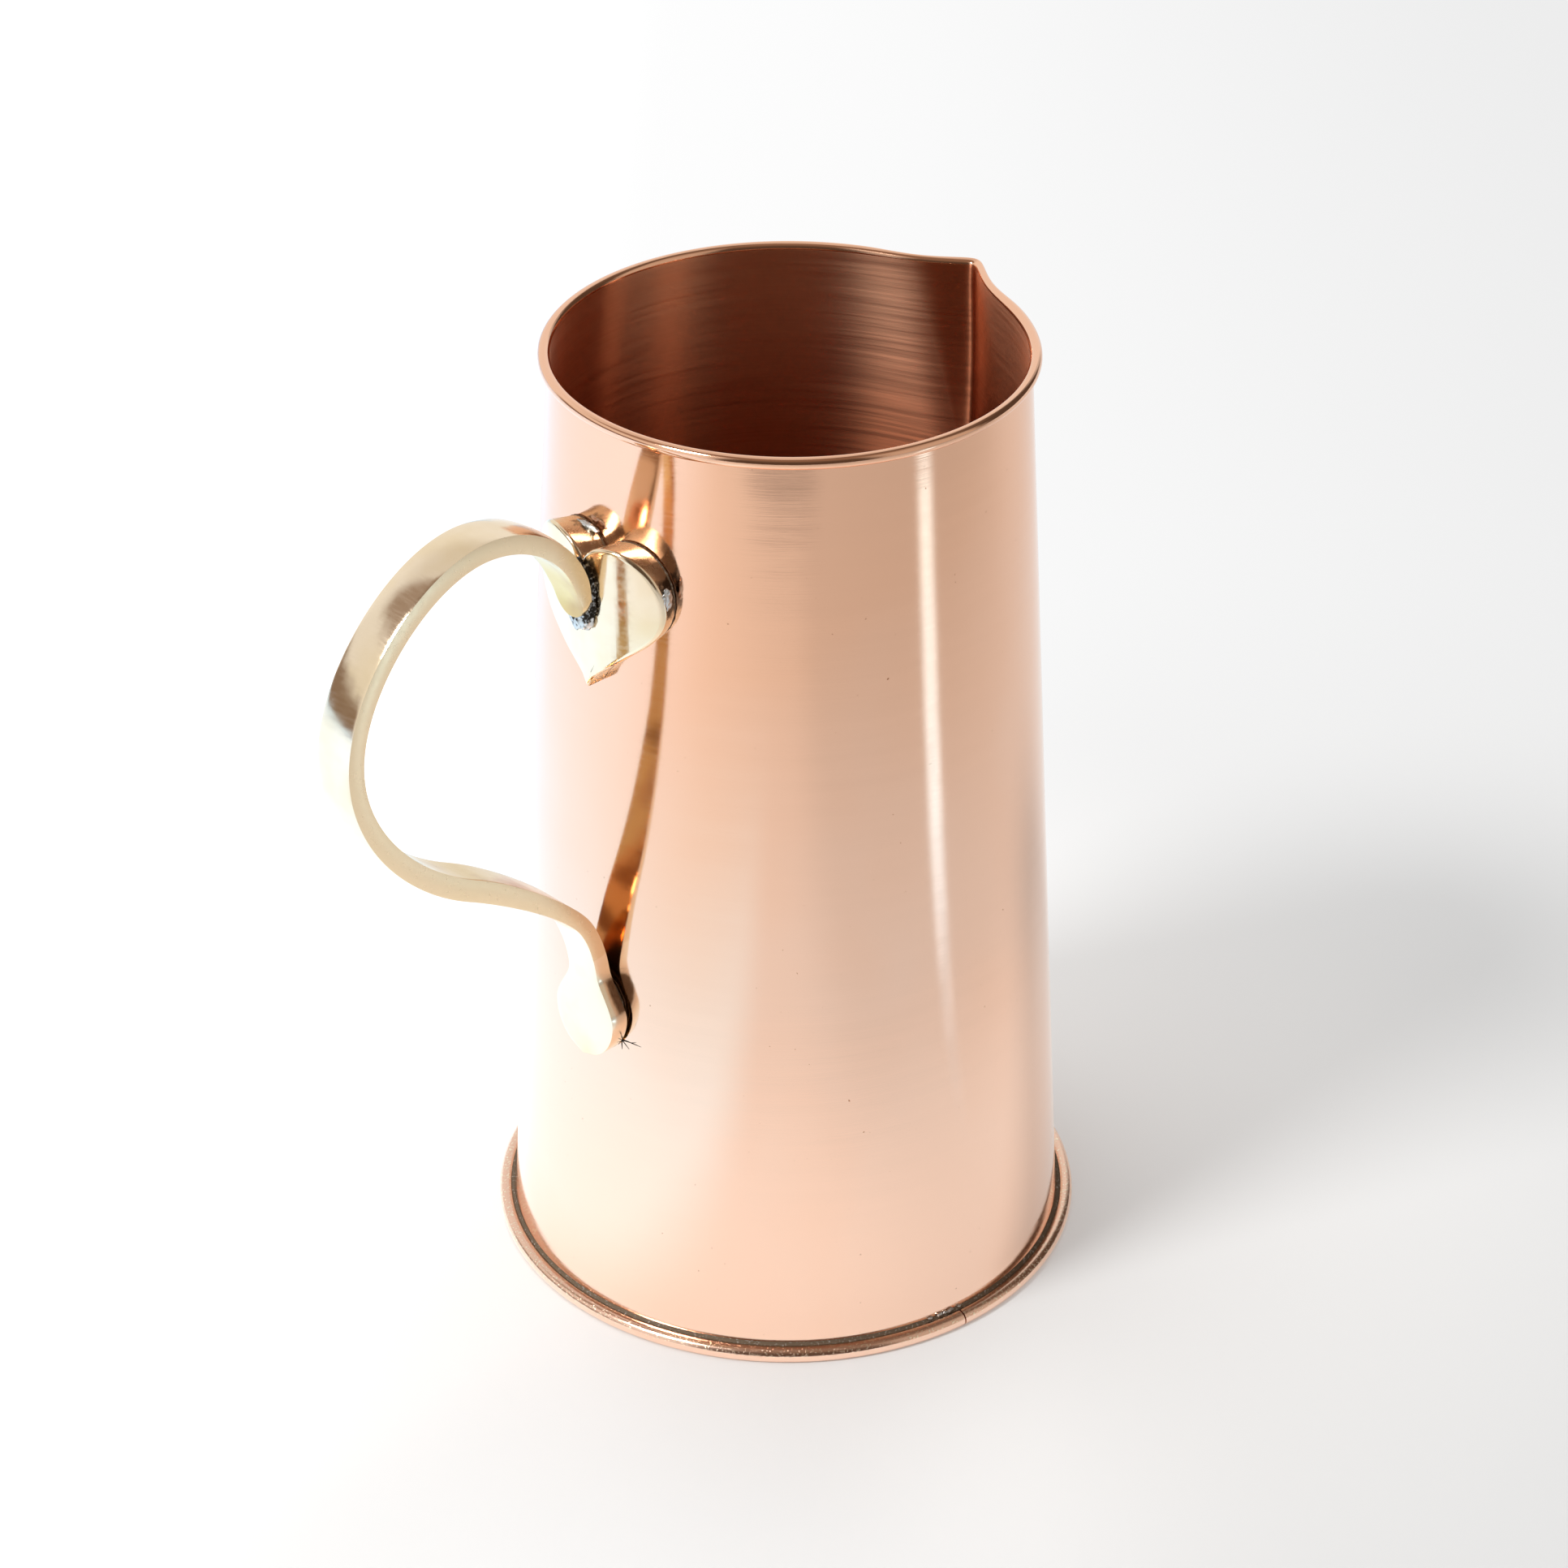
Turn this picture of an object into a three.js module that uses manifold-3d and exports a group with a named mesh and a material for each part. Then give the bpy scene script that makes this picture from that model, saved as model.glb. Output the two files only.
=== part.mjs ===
// Copper pitcher: a tapered copper body with a rolled rim and a pinched pouring lip, a soldered foot
// ring, and a brass strap handle that springs from a heart-shaped plate.
// Millimetres. The origin is on the body's axis, in the plane that the pitcher stands on.
// +Z is up, the pouring lip points along +X and the handle along -X.

import * as THREE from 'three';
import { mergeVertices } from 'three/addons/utils/BufferGeometryUtils.js';
import Module from 'manifold-3d';

const wasm = await Module();
wasm.setup();
const { clamp, lerp, smoothstep } = THREE.MathUtils;

// Driving dimensions: the body's height, sheet and end radii, and the gap between soldered pieces
const height = 250;
const sheet = 0.7;
const footRadius = 72.8;
const topRadius = 58.2;
const seat = 0.3;

// Body and rolled rim
const wallBottom = 0.3;
const rollRadius = 1.5;
const rollSweep = 285;
const rimWireRadius = 0.5;
const aroundSteps = 76;
const aroundCrowding = 0.6;

// Pouring lip
const lipReach = 9.4;
const lipWidth = 8.8;
const lipTurn = 2;
const lipFade = 1.25;
const lipFlick = 0.12;
const lipSqueeze = 0.45;
const lipSqueezeReach = 20;
const creaseRadius = 0.8;
const grooveFoot = 130;

// Base disc, the fillet inside it, and the foot ring with its fillet
const discRadius = 71.6;
const discThickness = 1.2;
const insideFillet = 2.4;
const ringRadius = 2.05;
const ringCentreRadius = 75.1;
const ringCentreHeight = 1.6;
const ringJoint = -97.8;
const ringJointGap = 0.4;
const footFilletTop = 4.4;
const footFilletWaist = 3.9;

// Brazed lap inside the wall
const seamHalfWidth = 4;
const seamThickness = 0.5;
const seamFoot = 8;
const seamTop = 243;

// Heart plate: its right half, drawn across and up from the notch to the tip
const heartStandoff = 1.0;
const heartFront = 68.5;
const heartDome = 40;
const heartLean = 1.7;
const heartFlare = 0.055;
const heartDepth = 5;
const heartNotch = [0, 217.6];
const heartCurves = [
  { out: [2.2, 221.6], into: [6.3, 222.8], at: [9.6, 222.8] },
  { out: [16.2, 222.8], into: [21.3, 216.2], at: [21.3, 208.2] },
  { out: [21.3, 200.2], into: [14.2, 197], at: [9.2, 192.2] },
  { out: [5.2, 188.6], into: [2, 187.2], at: [0, 182.6] }
];

// Handle strap: its centre line as distance from the axis and height, from the heart to the tongue
const strapKnots = [
  { at: [71.2, 203.7], out: [70.2, 216.8] },
  { into: [82.3, 233.3], at: [101, 234.2], out: [121, 235.2] },
  { into: [144.4, 212], at: [143.2, 190.1], out: [142.4, 173] },
  { into: [128, 155.6], at: [110.2, 146.5], out: [99.3, 140.9] },
  { into: [80.2, 127.7], at: [75.6, 120], out: [72, 114.2] },
  { into: [70.2, 106.2], at: [70.15, 99.5], out: [70.3, 93] },
  { into: [70.7, 86.3], at: [70.95, 79.8] }
];
const strapHalfWidth = 5.5;
const strapTopNarrowing = 0.8;
const strapTopLength = 25;
const strapNeckNarrowing = 0.5;
const strapNeckLength = 60;
const strapCrown = 0.5;
const strapEndRound = 5;
const tongueHalfWidth = 10.2;
const tongueRound = 11.7;
const tongueNeck = 25;
const tongueDrift = 1.5;
const tongueDriftStart = 150;

// The strap's thickness at distances along it from its upper end
const strapThickness = [
  { at: 0, thick: 2.2 },
  { at: 12, thick: 4.5 },
  { at: 47, thick: 4.8 },
  { at: 114, thick: 4.5 },
  { at: 171, thick: 5.6 },
  { at: 215, thick: 4 },
  { at: 235, thick: 4.4 },
  { at: 257, thick: 3.9 }
];

// Solder pad at the strap's upper end, and the film under the tongue
const padHalfWidth = 5.6;
const padFoot = 198;
const padTop = 214;
const padDepth = 2;
const tongueFilmInset = 1.35;

// Finishes
const copper = { color: 0xdd9a76, metalness: 1, roughness: 0.16 };
const brass = { color: 0xd9c08a, metalness: 1, roughness: 0.18 };
const solder = { color: 0x6b6558, metalness: 1, roughness: 0.45 };
const wireCopper = { color: 0xb87654, metalness: 1, roughness: 0.4 };

const degree = Math.PI / 180;
const wallTaper = (footRadius - topRadius) / height;
const rollHeight = height - rollRadius;
const rollCentreRadius = wallRadius(rollHeight) + rollRadius - sheet;
const heartTop = heartCurves[0].at[1];
const heartTip = heartCurves[heartCurves.length - 1].at[1];
const heartMiddle = (heartTop + heartTip) / 2;
const pitcher = new THREE.Group();

function wallRadius(z) {
  return footRadius - wallTaper * z;
}

function add(name, geometry, finish) {
  geometry.computeVertexNormals();
  const mesh = new THREE.Mesh(geometry, new THREE.MeshStandardMaterial(finish));
  mesh.name = name;
  pitcher.add(mesh);
}

// Solids for cutting and joining
function closedSurface(geometry) {
  geometry.deleteAttribute('normal');
  geometry.deleteAttribute('uv');
  return mergeVertices(geometry, 1e-4);
}

function toSolid(geometry) {
  const surface = closedSurface(geometry);
  const vertProperties = new Float32Array(surface.attributes.position.array);
  const triVerts = new Uint32Array(surface.index.array);
  return new wasm.Manifold(new wasm.Mesh({ numProp: 3, vertProperties, triVerts }));
}

function fromSolid(solid) {
  const mesh = solid.getMesh();
  const geometry = new THREE.BufferGeometry();
  geometry.setAttribute('position', new THREE.BufferAttribute(new Float32Array(mesh.vertProperties), 3));
  geometry.setIndex(new THREE.BufferAttribute(new Uint32Array(mesh.triVerts), 1));
  return geometry;
}

// Moves each vertex of a geometry to the place that a function of its old place gives.
function reshape(geometry, place) {
  const position = geometry.attributes.position;
  const point = new THREE.Vector3();
  for (let i = 0; i < position.count; i += 1) {
    point.fromBufferAttribute(position, i);
    const moved = place(point);
    position.setXYZ(i, moved.x, moved.y, moved.z);
  }
  return geometry;
}

function turned(points, steps) {
  const profile = points.map(([radius, z]) => new THREE.Vector2(radius, z));
  return new THREE.LatheGeometry(profile, steps).rotateX(Math.PI / 2);
}

function arcPoints(centreRadius, centreZ, radius, fromDegrees, toDegrees, steps) {
  const points = [];
  for (let i = 0; i <= steps; i += 1) {
    const angle = lerp(fromDegrees, toDegrees, i / steps) * degree;
    points.push([centreRadius + radius * Math.cos(angle), centreZ + radius * Math.sin(angle)]);
  }
  return points;
}

// How far up the pouring groove a height lies, from 0 at its foot to 1 at the rim
function grooveRise(z) {
  return clamp((z - grooveFoot) / (height - grooveFoot), 0, 1);
}

// How far the pouring lip is pushed out, at an angle from the lip and a height. The push grows
// up the groove, with a last flick at the rim, while the crease becomes sharper.
function lipPush(angle, z) {
  const rise = grooveRise(z);
  const depth = lipReach * lerp(smoothstep(z, grooveFoot, height), rise ** 30, lipFlick);
  const width = lipWidth * (1 + rise) / 2;
  const blunt = creaseRadius * (3 - 2 * rise);
  const across = Math.hypot(wallRadius(z) * angle, blunt);
  const shape = (distance) => Math.exp(-((distance / width) ** lipFade));
  return depth * shape(across) / shape(blunt);
}

// Bends a turned wall into the pouring lip. The vertices are crowded towards the lip first, and
// the sheet keeps its thickness because it is offset square to the pushed-out middle surface.
// The roll is squeezed flatter near the lip.
function bendLip(point) {
  const plain = Math.atan2(point.y, point.x);
  const angle = plain - aroundCrowding * Math.sin(plain);
  const squeeze = lipSqueeze * Math.exp(-((topRadius * angle / lipSqueezeReach) ** 4));
  const middle = wallRadius(point.z) - sheet / 2;
  const unsqueezed = Math.hypot(point.x, point.y) - middle;
  const offset = unsqueezed - squeeze * Math.max(unsqueezed - sheet / 2, 0);
  const radius = middle + lipPush(angle, point.z);
  const step = 0.001;
  const slope = (lipPush(angle + step, point.z) - lipPush(angle - step, point.z)) / (2 * step);
  const tilt = Math.atan2(slope, radius);
  const place = angle + lipTurn * degree * grooveRise(point.z) ** 3;
  const onRoll = point.z > height - 2 * rollRadius;
  return new THREE.Vector3(
    radius * Math.cos(place) + offset * Math.cos(place - tilt),
    radius * Math.sin(place) + offset * Math.sin(place - tilt),
    onRoll ? lerp(point.z, rollHeight, squeeze / 2) : point.z
  );
}

// Body wall: up the outside, round the hollow of the roll and back over it, and down the inside
const wallLevels = [wallBottom, 70, grooveFoot, 155, 175, 195, 212, 228, 239, 245];
const rollEnd = 180 - rollSweep;
const wallProfile = [
  ...wallLevels.map((z) => [wallRadius(z), z]),
  ...arcPoints(rollCentreRadius, rollHeight, rollRadius - sheet, 180, rollEnd, 9),
  ...arcPoints(rollCentreRadius, rollHeight, rollRadius, rollEnd, 180, 10),
  ...wallLevels.toReversed().map((z) => [wallRadius(z) - sheet, z]),
  [wallRadius(wallBottom), wallBottom]
];
add('body_wall', reshape(closedSurface(turned(wallProfile, aroundSteps)), bendLip), copper);

// Rim wire inside the roll
const rimWireProfile = arcPoints(rollCentreRadius, rollHeight, rimWireRadius, 0, 360, 6);
add('rim_wire', reshape(closedSurface(turned(rimWireProfile, aroundSteps)), bendLip), wireCopper);

// Base disc
const discProfile = [[0, 0], [discRadius, 0], [discRadius, discThickness], [0, discThickness]];
add('bottom_disc', closedSurface(turned(discProfile, 72)), copper);

// Solder fillet inside, between the disc and the wall, with a hollow face
const filletRadius = discRadius - seat / 3;
const filletFloor = discThickness + seat;
const filletHollow = 0.3 * insideFillet;
const insideFilletProfile = [
  [filletRadius - insideFillet, filletFloor],
  [filletRadius, filletFloor],
  [filletRadius - wallTaper * insideFillet, filletFloor + insideFillet],
  [filletRadius - filletHollow, filletFloor + filletHollow],
  [filletRadius - insideFillet, filletFloor]
];
add('bottom_solder', closedSurface(turned(insideFilletProfile, 60)), solder);

// Foot ring: a round wire bent into a ring with a butt joint, filed flat underneath
class RingPath extends THREE.Curve {
  getPoint(t, target = new THREE.Vector3()) {
    const gap = ringJointGap / ringCentreRadius;
    const angle = ringJoint * degree + gap / 2 + t * (2 * Math.PI - gap);
    return target.set(
      ringCentreRadius * Math.cos(angle),
      ringCentreRadius * Math.sin(angle),
      ringCentreHeight
    );
  }
}
const flatAngle = Math.asin(ringCentreHeight / ringRadius) / degree;
const ringSection = new THREE.Shape(
  arcPoints(0, 0, ringRadius, -flatAngle, 180 + flatAngle, 10).map(([out, up]) => new THREE.Vector2(-up, -out))
);
const ringOptions = { steps: 72, bevelEnabled: false, extrudePath: new RingPath() };
add('foot_ring', closedSurface(new THREE.ExtrudeGeometry(ringSection, ringOptions)), copper);

// Solder fillet outside, lying in the groove between the foot ring and the wall
const onRing = arcPoints(ringCentreRadius, ringCentreHeight, ringRadius + seat, 154, 105, 3);
const [ringLipRadius, ringLipHeight] = onRing[onRing.length - 1];
const footFilletProfile = [
  ...onRing,
  [ringLipRadius, ringLipHeight + seat],
  [wallRadius(footFilletWaist) + 3 * seat, footFilletWaist + seat / 2],
  [wallRadius(footFilletTop) + seat, footFilletTop],
  onRing[0]
];
add('foot_solder', closedSurface(turned(footFilletProfile, 72)), solder);

// Brazed lap inside the wall behind the handle: a thin strip bent to the wall
const seam = reshape(new THREE.BoxGeometry(1, 1, 1, 4, 1, 1), (point) => {
  const z = lerp(seamFoot, seamTop, point.z + 0.5);
  const radius = wallRadius(z) - sheet - 1.5 * seat - (0.5 - point.y) * seamThickness;
  const angle = Math.PI - 2 * point.x * seamHalfWidth / radius;
  return new THREE.Vector3(radius * Math.cos(angle), radius * Math.sin(angle), z);
});
add('side_seam', closedSurface(seam), solder);

// A cone that stands off the outside of the wall, for fitting a piece to the wall
function wallCone(standoff) {
  const low = 60;
  const high = 240;
  const cone = new THREE.CylinderGeometry(
    wallRadius(high) + standoff,
    wallRadius(low) + standoff,
    high - low,
    120
  );
  return toSolid(cone.rotateX(Math.PI / 2).translate(0, 0, (high + low) / 2));
}

// Extrudes an outline drawn across (towards -Y) and up, outwards from the axis along -X.
// A flare makes the inner end longer than the outer one, measured down from a top line.
function outwardPrism(shape, from, to, flare = 0, top = 0) {
  const prism = new THREE.ExtrudeGeometry(shape, { depth: to - from, bevelEnabled: false, curveSegments: 7 });
  const place = (point) => {
    const inward = clamp((to - from - point.z) / (to - from), 0, 1);
    return new THREE.Vector3(-(from + point.z), -point.x, top + (point.y - top) * (1 + flare * inward));
  };
  return toSolid(reshape(prism, place));
}

// Heart outline, mirrored from its right half and scaled about its middle
function heartShape(scale) {
  const side = (point, sign) => [sign * scale * point[0], heartMiddle + (point[1] - heartMiddle) * scale];
  const shape = new THREE.Shape();
  shape.moveTo(...side(heartNotch, 1));
  for (const { out, into, at } of heartCurves) {
    shape.bezierCurveTo(...side(out, 1), ...side(into, 1), ...side(at, 1));
  }
  const ends = [heartNotch, ...heartCurves.map(({ at }) => at)];
  for (let i = heartCurves.length - 1; i >= 0; i -= 1) {
    const { out, into } = heartCurves[i];
    shape.bezierCurveTo(...side(into, -1), ...side(out, -1), ...side(ends[i], -1));
  }
  return shape;
}

// The heart's front is part of an upright cylinder that leans out a little at the top.
function heartFace(extra) {
  const radius = heartDome + extra;
  const face = new THREE.CylinderGeometry(radius, radius, 2 * heartDome, 96).rotateX(Math.PI / 2);
  face.rotateY(-heartLean * degree);
  return toSolid(face.translate(heartDome - heartFront, 0, heartMiddle));
}

const heartInside = wallRadius(heartTop) - heartDepth;
const heart = outwardPrism(heartShape(1), heartInside, heartFront, heartFlare, heartTop)
  .intersect(heartFace(0))
  .subtract(wallCone(heartStandoff));
add('heart_plate', fromSolid(heart), brass);

// Solder film behind the heart
const heartFilm = outwardPrism(heartShape(0.95), topRadius - padDepth, heartFront)
  .intersect(wallCone(heartStandoff - seat))
  .subtract(wallCone(seat));
add('heart_solder', fromSolid(heartFilm), solder);

// Handle strap
const strapLine = new THREE.CurvePath();
for (let i = 1; i < strapKnots.length; i += 1) {
  const start = strapKnots[i - 1];
  const end = strapKnots[i];
  const controls = [start.at, start.out, end.into, end.at].map(([x, z]) => new THREE.Vector2(x, z));
  strapLine.add(new THREE.CubicBezierCurve(...controls));
}
const strapLength = strapLine.getLength();

function strapThicknessAt(distance) {
  const last = strapThickness.length - 1;
  const next = strapThickness.findIndex(({ at }) => at >= distance);
  if (next <= 0) {
    return strapThickness[next === 0 ? 0 : last].thick;
  }
  const from = strapThickness[next - 1];
  const to = strapThickness[next];
  return lerp(from.thick, to.thick, smoothstep(distance, from.at, to.at));
}

// Half the strap's width: round at both ends, wide at the tongue and narrow just above it
function strapHalfWidthAt(distance) {
  const fromEnd = strapLength - distance;
  const roundEnd = (along, radius) => Math.sqrt(1 - (1 - along / radius) ** 2);
  if (distance < strapEndRound) {
    return (strapHalfWidth - strapTopNarrowing) * roundEnd(distance, strapEndRound);
  }
  if (fromEnd < tongueRound) {
    return tongueHalfWidth * roundEnd(fromEnd, tongueRound);
  }
  const neck = strapHalfWidth - strapNeckNarrowing;
  if (fromEnd < tongueNeck) {
    return lerp(tongueHalfWidth, neck, smoothstep(fromEnd, tongueRound, tongueNeck));
  }
  const atTop = strapTopNarrowing * (1 - smoothstep(distance, strapEndRound, strapTopLength));
  const atNeck = strapNeckNarrowing * (1 - smoothstep(fromEnd, tongueNeck, strapNeckLength));
  return strapHalfWidth - atTop - atNeck;
}

// Stations along the strap, closer together round its two ends, which are left a hair short of a point
function strapStation(share) {
  const ends = 0.14;
  const blunt = 0.05;
  if (share < ends) {
    return strapEndRound * (1 - Math.cos(share / ends * Math.PI / 2)) + blunt;
  }
  if (share > 1 - ends) {
    return strapLength - tongueRound * (1 - Math.cos((1 - share) / ends * Math.PI / 2)) - blunt;
  }
  return lerp(strapEndRound, strapLength - tongueRound, (share - ends) / (1 - 2 * ends));
}

// A box bent along the centre line. Its outer face is crowned, and the tongue's back fits the wall.
function strapGeometry(extra) {
  const box = new THREE.BoxGeometry(1, 1, 1, 4, 1, 56);
  return reshape(box, (point) => {
    const distance = strapStation(point.z + 0.5);
    const at = strapLine.getPointAt(distance / strapLength);
    const along = strapLine.getTangentAt(distance / strapLength);
    const across = 2 * point.x;
    const halfWidth = Math.max(strapHalfWidthAt(distance), 0.5) + extra;
    const crown = point.y > 0 ? strapCrown * (1 - across * across) : 0;
    const out = 2 * point.y * (strapThicknessAt(distance) / 2 + extra) + crown;
    const drift = tongueDrift * smoothstep(distance, tongueDriftStart, strapLength - tongueRound);
    const side = across * halfWidth;
    const hollow = point.y < 0 ? side * side / (2 * footRadius) : 0;
    const saddle = hollow * (1 - smoothstep(strapLength - distance, tongueRound, tongueNeck));
    return new THREE.Vector3(-(at.x - along.y * out - saddle), -(side + drift), at.y + along.x * out);
  });
}
add('handle_strap', closedSurface(strapGeometry(0)), brass);

// Solder round the strap's upper end: a pad on the heart, cut back by both
const padShape = new THREE.Shape();
padShape.moveTo(-padHalfWidth, padTop);
padShape.bezierCurveTo(-padHalfWidth, padFoot - padDepth, padHalfWidth, padFoot - padDepth, padHalfWidth, padTop);
const strapPad = outwardPrism(padShape, heartFront - 2 * padDepth, heartFront + padDepth)
  .subtract(heartFace(seat))
  .subtract(toSolid(strapGeometry(seat)));
add('strap_solder', fromSolid(strapPad), solder);

// Solder film under the tongue
const tongueFilm = new THREE.Shape();
const tongueEnd = strapKnots[strapKnots.length - 1].at[1];
tongueFilm.absellipse(
  tongueDrift,
  tongueEnd + tongueRound,
  tongueHalfWidth - tongueFilmInset,
  tongueRound - tongueFilmInset,
  0,
  2 * Math.PI
);
const tonguePad = outwardPrism(tongueFilm, topRadius, footRadius)
  .intersect(wallCone(2 * seat))
  .subtract(wallCone(seat));
add('tongue_solder', fromSolid(tonguePad), solder);

export default pitcher;
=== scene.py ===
"""Copper pitcher with a rolled rim, a pinched pouring lip, a soldered foot ring and a brass strap handle.

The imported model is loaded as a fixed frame, and the pieces that show are modelled over it.
Shapes are worked out in millimetres and each finished mesh is scaled to metres.
+Z is up, the pouring lip points along +X and the handle along -X.
"""

import math
from bisect import bisect

import bmesh
import bpy
from bpy.props import FloatProperty, FloatVectorProperty, IntProperty, PointerProperty
from mathutils import Matrix, Vector, noise
from mathutils.geometry import interpolate_bezier


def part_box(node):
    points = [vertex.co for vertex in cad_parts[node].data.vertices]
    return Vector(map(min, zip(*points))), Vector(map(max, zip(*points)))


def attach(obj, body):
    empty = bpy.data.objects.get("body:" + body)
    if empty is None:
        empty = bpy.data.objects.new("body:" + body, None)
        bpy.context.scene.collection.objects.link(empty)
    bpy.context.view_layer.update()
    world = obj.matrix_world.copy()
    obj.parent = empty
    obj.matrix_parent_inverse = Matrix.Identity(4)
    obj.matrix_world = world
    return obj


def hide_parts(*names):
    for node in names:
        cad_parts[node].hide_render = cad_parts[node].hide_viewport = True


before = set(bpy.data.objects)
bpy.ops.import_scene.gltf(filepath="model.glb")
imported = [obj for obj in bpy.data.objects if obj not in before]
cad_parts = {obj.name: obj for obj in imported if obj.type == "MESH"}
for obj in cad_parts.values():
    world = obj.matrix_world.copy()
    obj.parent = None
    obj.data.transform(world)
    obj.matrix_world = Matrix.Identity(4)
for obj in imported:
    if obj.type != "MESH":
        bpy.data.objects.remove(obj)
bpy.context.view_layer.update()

bl_info = {
    "name": "Copper pitcher",
    "version": (1, 0, 0),
    "blender": (4, 5, 0),
    "location": "3D View > Sidebar > Pitcher",
    "description": "Models a copper pitcher with a brass strap handle over its packed frame",
    "category": "Add Mesh",
}

MM = 0.001
RING_LOW, RING_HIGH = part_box("foot_ring")

# Body, in millimetres
HEIGHT = 250.0
SHEET = 0.7
FOOT_RADIUS = 72.8
TOP_RADIUS = 58.2
WALL_BOTTOM = 0.3
WALL_TAPER = (FOOT_RADIUS - TOP_RADIUS) / HEIGHT
ROLL_RADIUS = 1.5
ROLL_SWEEP = math.radians(285)
ROLL_HEIGHT = HEIGHT - ROLL_RADIUS
AROUND_CROWDING = 0.75
GROOVE_FOOT = 130.0
LIP_TURN = math.radians(2)
LIP_FADE = 1.25
LIP_FLICK = 0.12
LIP_FLICK_FOOT = 236.0
LIP_SQUEEZE = 0.45
LIP_SQUEEZE_REACH = 20.0
CREASE_RADIUS = 0.8
# Painted shade along the pouring groove's crease inside: the height where it ends below, and its width at
# the rim
GROOVE_SHADE_FOOT = 178.0
GROOVE_SHADE_WIDTH = 13.0

# Foot, in millimetres
RING_CENTRE_HEIGHT = 1.6
RING_JOINT = math.radians(-97.8)
RING_JOINT_GAP = 0.4
RING_CLEARANCE = 0.003
FOOT_FILLET_START = math.radians(154)
FOOT_FILLET_CLIMB = math.radians(28)
FOOT_FILLET_TOP = 3.95
FOOT_FILLET_WAIST = 3.5
FOOT_FILLET_HOLLOW = 0.35
FLARE_TOP = 9.0
FLARE_FOOT = 3.2
FLARE_BEND = 0.0155

# Bright drops beside the foot ring's joint: degrees from it, half length and half height
JOINT_DROPS = ((-6.5, 0.8, 0.4), (-4.2, 1.1, 0.5), (-3.1, 0.6, 0.45), (-1.8, 1.2, 0.5), (0.6, 0.6, 0.3))

# The foot's solder is lumpier over this turn beside the joint, in radians
LUMPY_TURN = math.radians(4)

# Seed of the noise that makes the drops of solder uneven
SOLDER_SEED = 1

# Heart plate, in millimetres: its half outline goes across and up, from the notch to the tip
HEART_STANDOFF = 0.12
HEART_FRONT = 68.5
HEART_DOME = 40.0
HEART_LEAN = math.radians(1.7)
HEART_DRAW_IN = 0.06
HEART_NOTCH = (0, 217.6)
HEART_CURVES = (
    ((2.2, 221.6), (6.3, 222.8), (9.6, 222.8)),
    ((16.2, 222.8), (21.3, 216.2), (21.3, 208.2)),
    ((21.3, 200.2), (14.2, 197), (9.2, 192.2)),
    ((5.2, 188.6), (2, 187.2), (0, 182.6)),
)
HEART_EDGE_DROP = (-60.7, -20.5, 211.4)
HEART_LOBE_DROP = (-61.2, 6.4, 221.3)
# Where the heart's tip meets the wall: dark flux and painted shade
HEART_TIP_FLUX_AND_SHADE = (-61.6, -4.5, 186.5)
HEART_MIDDLE = (HEART_CURVES[0][-1][1] + HEART_CURVES[-1][-1][1]) / 2
HEART_HALF_WIDTH = HEART_CURVES[1][-1][0]

# Handle strap, in millimetres: its centre line as distance from the axis and height
STRAP_CURVES = (
    ((71.2, 203.7), (70.2, 216.8), (82.3, 233.3), (101, 234.2)),
    ((101, 234.2), (121, 235.2), (144.4, 212), (143.2, 190.1)),
    ((143.2, 190.1), (142.4, 173), (128, 155.6), (110.2, 146.5)),
    ((110.2, 146.5), (99.3, 140.9), (80.2, 127.7), (75.6, 120)),
    ((75.6, 120), (72, 114.2), (70.2, 106.2), (70.15, 99.5)),
    ((70.15, 99.5), (70.3, 93), (70.7, 86.3), (70.95, 79.8)),
)
STRAP_THICKNESS = ((0, 2.2), (12, 4.5), (47, 4.8), (114, 4.5), (171, 5.6), (215, 4), (235, 4.4), (257, 3.9))
STRAP_TOP_NARROWING = 0.8
STRAP_TOP_LENGTH = 25.0
STRAP_NECK_NARROWING = 0.5
STRAP_NECK_LENGTH = 60.0
STRAP_CROWN = 0.5
STRAP_END_ROUND = 5.0
TONGUE_HALF_WIDTH = 10.2
TONGUE_ROUND = 11.7
TONGUE_NECK = 25.0
TONGUE_SHINE = 30.0
TONGUE_DRIFT = 1.5
TONGUE_DRIFT_START = 150.0

# Fine cracks in the flux beside the tongue: start and end, across and up, and half thickness
CRACK_ROOT = (-9.2, 84.5)
CRACK_FORK = (-12.2, 84.7)
WALL_CRACKS = (
    (CRACK_ROOT, CRACK_FORK, 0.26),
    (CRACK_FORK, (-15.1, 84.6), 0.15),
    (CRACK_FORK, (-13.6, 85.4), 0.12),
    (CRACK_ROOT, (-11.6, 82.6), 0.16),
    (CRACK_ROOT, (-9.4, 81.8), 0.2),
    (CRACK_ROOT, (-8.2, 82.6), 0.15),
)

# The camera of the photograph, in metres and radians
CAMERA_PLACE = Vector((-0.6621, -0.6621, 0.7027))
CAMERA_PITCH = math.radians(58.38)
CAMERA_HEADING = math.radians(-44.943)
CAMERA_ROLL = 0.0042
CAMERA_LENS = 99.1

# The floor and lights, in metres and radians. The strip's ends are told as across and away
FLOOR_RADIUS = 6
KEY_HEADING = math.radians(-147)
KEY_HEIGHT = math.radians(50)
KEY_DISTANCE = 3.5
STRIP_NEAR = Vector((0.098, -0.048))
STRIP_FAR = Vector((0.60, -0.32))
STRIP_HALF_WIDTHS = (0.003, 0.07)
STRIP_HEIGHT = 0.002

# A height in metres that the whole pitcher lies below
EVERYWHERE = 1.0


def blend(low, high, share):
    return low + (high - low) * share


def clamp(value, low=0.0, high=1.0):
    return min(max(value, low), high)


def ease(value, start, end):
    """0 before start, 1 after end, and a smooth rise between them."""
    share = clamp((value - start) / (end - start))
    return share * share * (3 - 2 * share)


# The body's surface


def wall_radius(z):
    return FOOT_RADIUS - WALL_TAPER * z


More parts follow.
